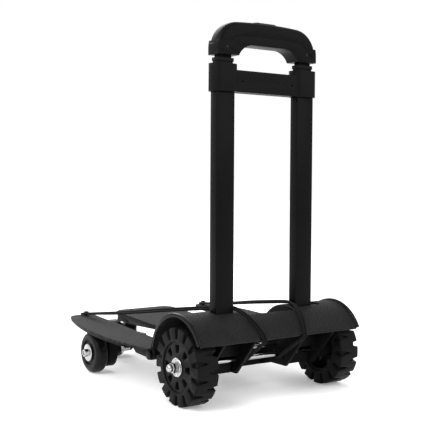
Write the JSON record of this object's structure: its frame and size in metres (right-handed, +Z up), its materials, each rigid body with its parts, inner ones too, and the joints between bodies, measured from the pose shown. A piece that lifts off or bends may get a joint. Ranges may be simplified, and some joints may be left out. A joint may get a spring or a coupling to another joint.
{
  "type": "folding platform cart",
  "caption": "Folding platform cart with a telescoping twin-tube handle, large rear wheels under an arched housing, and fold-up platform arms on swivel casters.",
  "frame": {"origin": "middle of the overall box, on the floor", "axes": "+Z up along the handle tubes, +Y towards the front of the platform, +X to the right of the cart, along the wheel axles"},
  "size_m": [0.401, 0.5343, 0.639],
  "materials": {
    "housing": "moulded with a fine woven pattern, satin",
    "black_moulded": "satin moulded",
    "bush_plastic": "smooth",
    "chrome": "bright plated",
    "tube_black": "black anodised, satin",
    "screw_steel": "dull plated",
    "cord_black": "braided sleeve",
    "tyre": "satin rubber",
    "rim_plastic": "satin moulded",
    "grip_plastic": "fine grained, satin",
    "button_plastic": "smooth",
    "arm_frame": "satin moulded",
    "deck": "moulded with a woven relief",
    "caster_body": "satin moulded",
    "caster_tyre": "smooth, semi-gloss"
  },
  "bodies": {
    "chassis": {"housing_shell": "housing", "bracket_left": "black_moulded", "bracket_right": "black_moulded", "hinge_beam": "black_moulded", "tie_bar": "chrome", "rear_axle": "chrome", "axle_nuts": "chrome", "axle_washers": "chrome", "axle_spacers": "bush_plastic", "hinge_rod": "chrome", "hinge_caps": "black_moulded", "tube_sockets": "black_moulded", "outer_tube_left": "tube_black", "outer_tube_right": "tube_black", "outer_bushes": "bush_plastic", "collar": "black_moulded", "collar_screws": "screw_steel", "housing_screws": "screw_steel", "elastic_cord_left": "cord_black", "elastic_cord_right": "cord_black"},
    "rear_wheel_left": {"tyre_left": "tyre", "rim_left": "rim_plastic", "wheel_bush_left": "bush_plastic"},
    "rear_wheel_right": {"tyre_right": "tyre", "rim_right": "rim_plastic", "wheel_bush_right": "bush_plastic"},
    "handle_middle": {"mid_tubes": "tube_black", "mid_bushes": "bush_plastic"},
    "handle_top": {"inner_tubes": "tube_black", "grip_shell": "grip_plastic", "grip_cover": "grip_plastic", "grip_screws": "screw_steel", "button_spring": "screw_steel"},
    "button": {"grip_button": "button_plastic", "release_rods": "screw_steel"},
    "arm_left": {"arm_frame_left": "arm_frame", "arm_deck_left": "deck", "arm_fasteners_left": "screw_steel", "cord_hook_left": "black_moulded"},
    "caster_swivel_left": {"caster_fork_left": "caster_body", "caster_axle_left": "chrome"},
    "caster_wheel_left": {"caster_tyre_left": "caster_tyre", "caster_hub_left": "rim_plastic"},
    "arm_right": {"arm_frame_right": "arm_frame", "arm_deck_right": "deck", "arm_fasteners_right": "screw_steel", "cord_hook_right": "black_moulded"},
    "caster_swivel_right": {"caster_fork_right": "caster_body", "caster_axle_right": "chrome"},
    "caster_wheel_right": {"caster_tyre_right": "caster_tyre", "caster_hub_right": "rim_plastic"},
    "arm_centre": {"arm_frame_centre": "arm_frame", "arm_deck_centre": "deck", "arm_fasteners_centre": "screw_steel"},
    "caster_swivel_centre": {"caster_fork_centre": "caster_body", "caster_axle_centre": "chrome"},
    "caster_wheel_centre": {"caster_tyre_centre": "caster_tyre", "caster_hub_centre": "rim_plastic"}
  },
  "joints": [
    {"name": "rear_wheel_left_spin", "type": "hinge", "parent": "chassis", "child": "rear_wheel_left", "pos_m": [-0.1523, -0.19755, 0.065], "axis": [1, 0, 0], "continuous": true},
    {"name": "rear_wheel_right_spin", "type": "hinge", "parent": "chassis", "child": "rear_wheel_right", "pos_m": [0.1523, -0.19755, 0.065], "axis": [1, 0, 0], "continuous": true},
    {"name": "handle_middle_slide", "type": "slide", "parent": "chassis", "child": "handle_middle", "axis": [0, 0, 1], "range_m": [0, 0.19]},
    {"name": "handle_top_slide", "type": "slide", "parent": "handle_middle", "child": "handle_top", "axis": [0, 0, 1], "range_m": [0, 0.19]},
    {"name": "grip_button_press", "type": "slide", "parent": "handle_top", "child": "button", "axis": [0, 0, -1], "range_m": [0, 0.005], "stiffness_N_per_m": 900, "springref_m": -0.003, "deforming": ["button_spring"]},
    {"name": "arm_left_fold", "type": "hinge", "parent": "chassis", "child": "arm_left", "pos_m": [-0.138, -0.09855, 0.068], "axis": [1, 0, 0], "range_deg": [0, 90], "deforming": ["elastic_cord_left"]},
    {"name": "caster_left_swivel", "type": "hinge", "parent": "arm_left", "child": "caster_swivel_left", "pos_m": [-0.139, 0.13745, 0.074], "axis": [0, 0, 1], "continuous": true},
    {"name": "caster_left_spin", "type": "hinge", "parent": "caster_swivel_left", "child": "caster_wheel_left", "pos_m": [-0.165, 0.11145, 0.039], "axis": [1, 0, 0], "continuous": true},
    {"name": "arm_right_fold", "type": "hinge", "parent": "chassis", "child": "arm_right", "pos_m": [0.138, -0.09855, 0.068], "axis": [1, 0, 0], "range_deg": [0, 90], "deforming": ["elastic_cord_right"]},
    {"name": "caster_right_swivel", "type": "hinge", "parent": "arm_right", "child": "caster_swivel_right", "pos_m": [0.139, 0.13745, 0.074], "axis": [0, 0, 1], "continuous": true},
    {"name": "caster_right_spin", "type": "hinge", "parent": "caster_swivel_right", "child": "caster_wheel_right", "pos_m": [0.165, 0.11145, 0.039], "axis": [1, 0, 0], "continuous": true},
    {"name": "arm_centre_fold", "type": "hinge", "parent": "chassis", "child": "arm_centre", "pos_m": [0, -0.09855, 0.068], "axis": [1, 0, 0], "range_deg": [0, 90]},
    {"name": "caster_centre_swivel", "type": "hinge", "parent": "arm_centre", "child": "caster_swivel_centre", "pos_m": [-0.035, 0.20045, 0.074], "axis": [0, 0, 1], "continuous": true},
    {"name": "caster_centre_spin", "type": "hinge", "parent": "caster_swivel_centre", "child": "caster_wheel_centre", "pos_m": [-0.061, 0.22645, 0.039], "axis": [1, 0, 0], "continuous": true}
  ]
}
